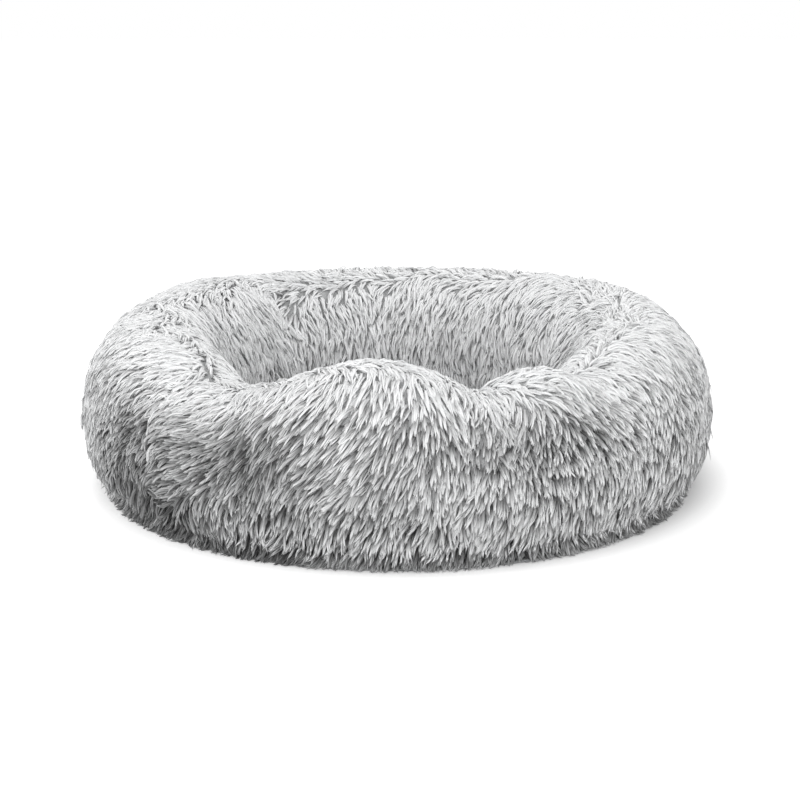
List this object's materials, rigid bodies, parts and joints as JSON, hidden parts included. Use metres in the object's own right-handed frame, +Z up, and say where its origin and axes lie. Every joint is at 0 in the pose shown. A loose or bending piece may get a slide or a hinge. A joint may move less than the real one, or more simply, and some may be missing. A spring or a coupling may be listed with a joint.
{
  "type": "donut pet bed",
  "caption": "Round bolster-ring pet bed in long-pile fur with a sunk sleeping well, a removable pillow ring and cushion, and a zip in the back of the base seam.",
  "frame": {"origin": "on the floor under the middle of the bed", "axes": "+Z up, -Y towards the front of the bed as pictured, +Y towards the zip at the back"},
  "size_m": [1.0002, 1.0002, 0.2902],
  "materials": {
    "fur": "matte",
    "liner": "matte",
    "fill": "matte",
    "base_cloth": "matte",
    "binding": "matte",
    "zip_tape": "matte",
    "zip_coil": "satin",
    "zip_metal": "satin"
  },
  "bodies": {
    "bed": {"ring_fur_front": "fur", "ring_fur_back": "fur", "centre_fur_panel": "fur", "ring_liner_top": "liner", "ring_liner_bottom": "liner", "ring_fill": "fill", "centre_liner_top": "liner", "centre_liner_bottom": "liner", "centre_fill": "fill", "base_cloth": "base_cloth", "base_binding": "binding", "zip_tape_upper": "zip_tape", "zip_tape_lower": "zip_tape", "zip_coil_upper": "zip_coil", "zip_coil_lower": "zip_coil", "zip_top_stop_upper": "zip_metal", "zip_top_stop_lower": "zip_metal", "zip_bottom_stop": "zip_metal", "zip_end_patch_right": "zip_tape", "zip_end_patch_left": "zip_tape"},
    "slider": {"zip_slider": "zip_metal"},
    "pull": {"zip_pull": "zip_metal"}
  },
  "joints": [
    {"name": "zip_travel", "type": "hinge", "parent": "bed", "child": "slider", "pos_m": [0, 0, 0.0205], "axis": [0, 0, 1], "range_deg": [0, 155.8]},
    {"name": "pull_swing", "type": "hinge", "parent": "slider", "child": "pull", "pos_m": [0.44866, 0.09638, 0.0205], "axis": [0, 0, -1], "range_deg": [0, 178]}
  ]
}
